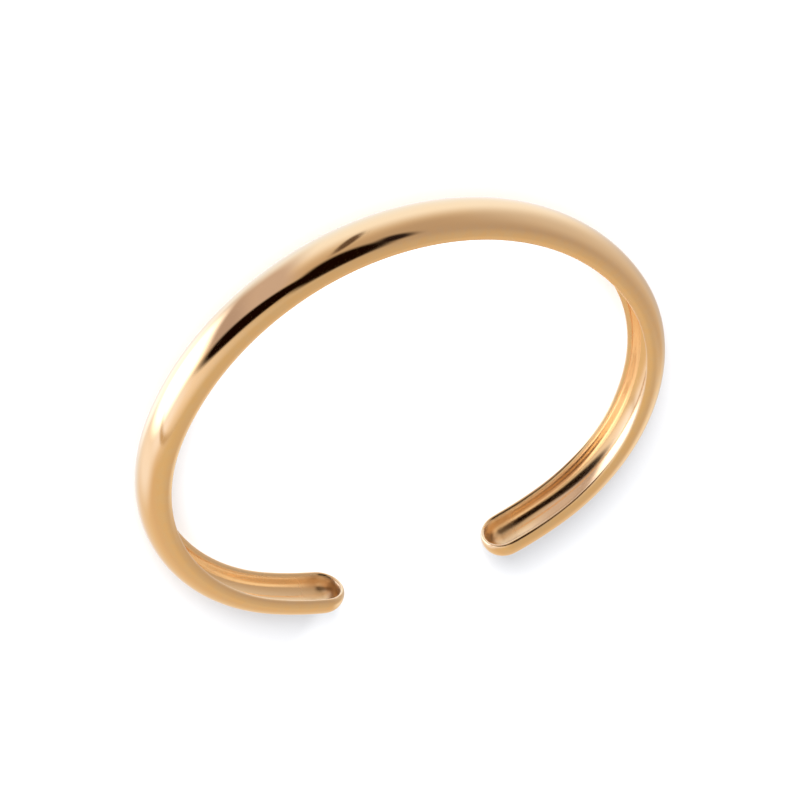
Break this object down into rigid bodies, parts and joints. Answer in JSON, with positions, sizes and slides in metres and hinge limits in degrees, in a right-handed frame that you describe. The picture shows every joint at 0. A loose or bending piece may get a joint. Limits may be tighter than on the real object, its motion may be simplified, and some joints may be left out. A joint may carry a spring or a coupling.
{
  "type": "open bangle",
  "caption": "Open oval bangle with a domed, hollow-backed band, rounded rims and round closed ends, lying on its side.",
  "frame": {"origin": "centre of the bounding box's base, on the surface that the bangle lies on", "axes": "+Z along the axis that the wrist passes, +X across the opening to one end, +Y to the middle of the back"},
  "size_m": [0.0642, 0.0532, 0.0058],
  "materials": {
    "rose_gold": "mirror-polished, plated in warm rose gold"
  },
  "bodies": {
    "root": {"bangle": "rose_gold"}
  },
  "joints": []
}
